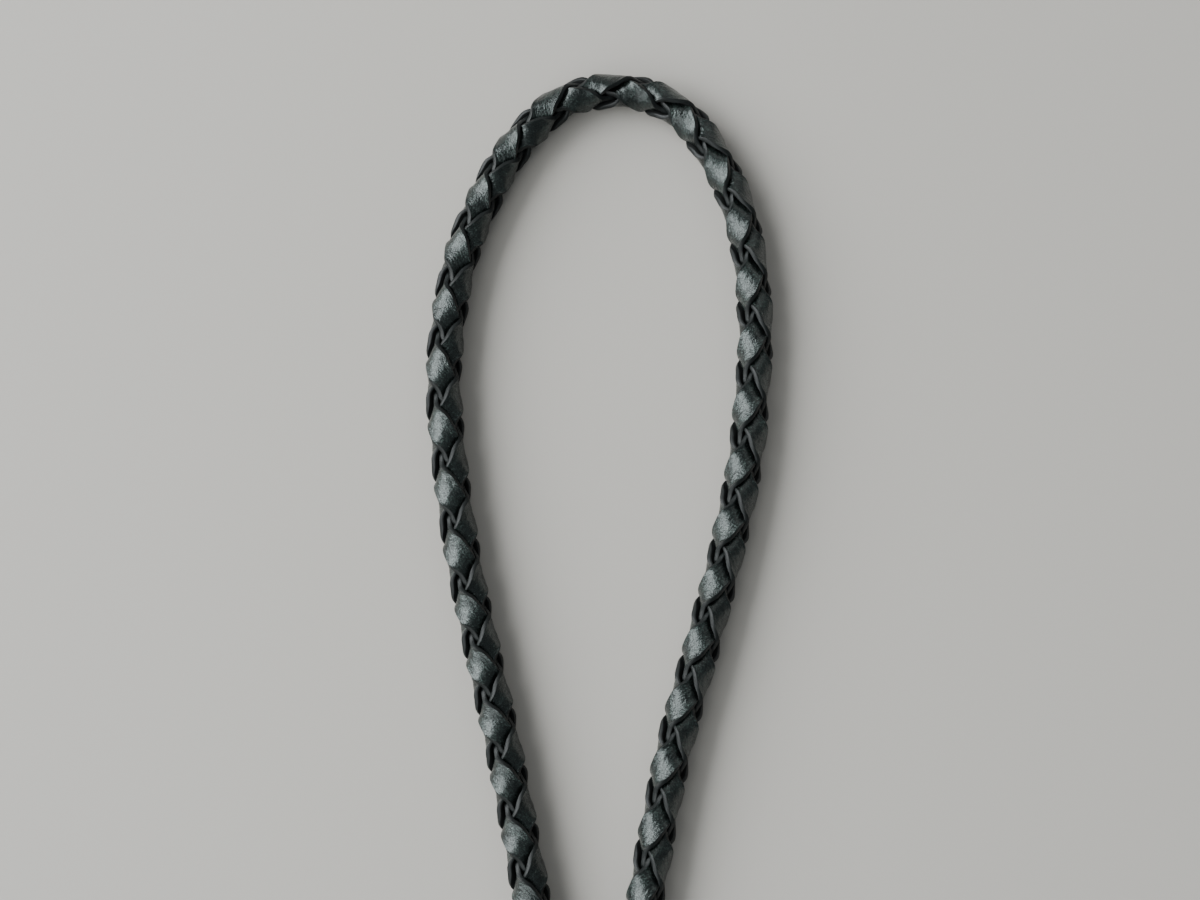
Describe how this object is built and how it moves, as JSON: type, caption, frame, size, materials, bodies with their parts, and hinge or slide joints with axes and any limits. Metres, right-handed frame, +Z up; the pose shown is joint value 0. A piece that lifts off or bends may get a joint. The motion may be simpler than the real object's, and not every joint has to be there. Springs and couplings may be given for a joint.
{
  "type": "bolo tie",
  "caption": "Bolo tie: a round cord braided from flat black leather laces, with a plain oval metal slide and tapered metal tips, lying flat with its neck loop open.",
  "frame": {"origin": "middle of the bottom of the whole tie's box, on the surface that it lies on", "axes": "+Y from the tails towards the top of the neck loop, +Z up from the surface, +X to the right as seen from above"},
  "size_m": [0.063, 0.477, 0.0101],
  "materials": {
    "lace_leather": "black pull-up cowhide lace, semi-gloss grain face with matt cut edges",
    "slide_metal": "plain nickel-plated brass, satin face with polished rim",
    "tip_metal": "plain nickel-plated brass, polished"
  },
  "bodies": {
    "root": {"lace_right_a": "lace_leather", "lace_left_a": "lace_leather", "lace_right_b": "lace_leather", "lace_left_b": "lace_leather", "slide": "slide_metal", "tip_left": "tip_metal", "tip_right": "tip_metal"}
  },
  "joints": []
}
